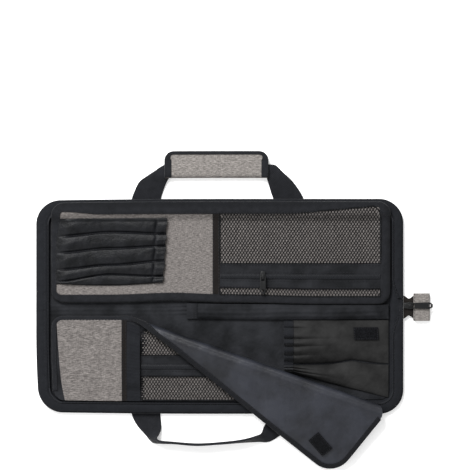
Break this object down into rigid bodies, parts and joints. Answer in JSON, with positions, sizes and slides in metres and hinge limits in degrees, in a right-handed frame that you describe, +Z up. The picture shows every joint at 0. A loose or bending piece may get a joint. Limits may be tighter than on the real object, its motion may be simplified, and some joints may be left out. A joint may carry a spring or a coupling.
{
  "type": "chef knife roll",
  "caption": "Padded cloth knife roll in grey heather and black, zipped open and lying flat, with tool sleeves, net pockets, a folded knife flap and two webbing handles",
  "frame": {"origin": "middle of the footprint of the whole roll with its handles, on the floor", "axes": "+Z up off the floor, +X along the spine towards the tail of the zip, +Y towards the half with the padded handle"},
  "size_m": [0.516, 0.4132, 0.0221],
  "materials": {
    "heather": "heathered canvas",
    "lining": "plain black weave",
    "satin": "satin",
    "webbing": "woven webbing",
    "tape": "grosgrain tape",
    "hook_and_loop": "hook and loop",
    "net": "knitted net",
    "zip_coil": "moulded coil",
    "zip_metal": "black enamel"
  },
  "bodies": {
    "roll": {"outer_shell": "heather", "tail_tab": "heather", "upper_divider": "heather", "knife_flap": "heather", "flap_heather": "heather", "handle_wrap": "heather", "inner_lining": "lining", "divider_piping": "lining", "spine_sleeve": "lining", "keeper_strip": "lining", "handle_pocket_1": "lining", "handle_pocket_2": "lining", "flap_binding": "lining", "tool_sleeves": "satin", "sleeve_hem": "satin", "shell_binding": "webbing", "top_handle": "webbing", "bottom_handle": "webbing", "wrap_binding": "webbing", "zip_tape_upper": "tape", "zip_tape_lower": "tape", "zip_tail": "tape", "divider_tape": "tape", "pocket_zip_tape": "tape", "pocket_hem": "tape", "flap_edge_tape": "tape", "scissor_band": "tape", "flap_zip_tape": "tape", "loop_patch": "hook_and_loop", "hook_patch": "hook_and_loop", "upper_net": "net", "upper_net_strip": "net", "flap_net_1": "net", "flap_net_2": "net", "zip_teeth_upper": "zip_coil", "zip_teeth_lower": "zip_coil", "pocket_zip_teeth": "zip_coil", "flap_zip_teeth": "zip_coil", "main_slider": "zip_metal", "pocket_slider": "zip_metal"},
    "main_pull": {"main_pull": "zip_metal"},
    "pocket_pull": {"pocket_pull": "zip_metal"}
  },
  "joints": [
    {"name": "main_pull_hinge", "type": "hinge", "parent": "roll", "child": "main_pull", "pos_m": [0.22895, 0.00543, 0.0093], "axis": [0, -1, 0], "range_deg": [0, 150]},
    {"name": "pocket_pull_hinge", "type": "hinge", "parent": "roll", "child": "pocket_pull", "pos_m": [0.03695, 0.04293, 0.0155], "axis": [-1, 0, 0], "range_deg": [0, 150]}
  ]
}
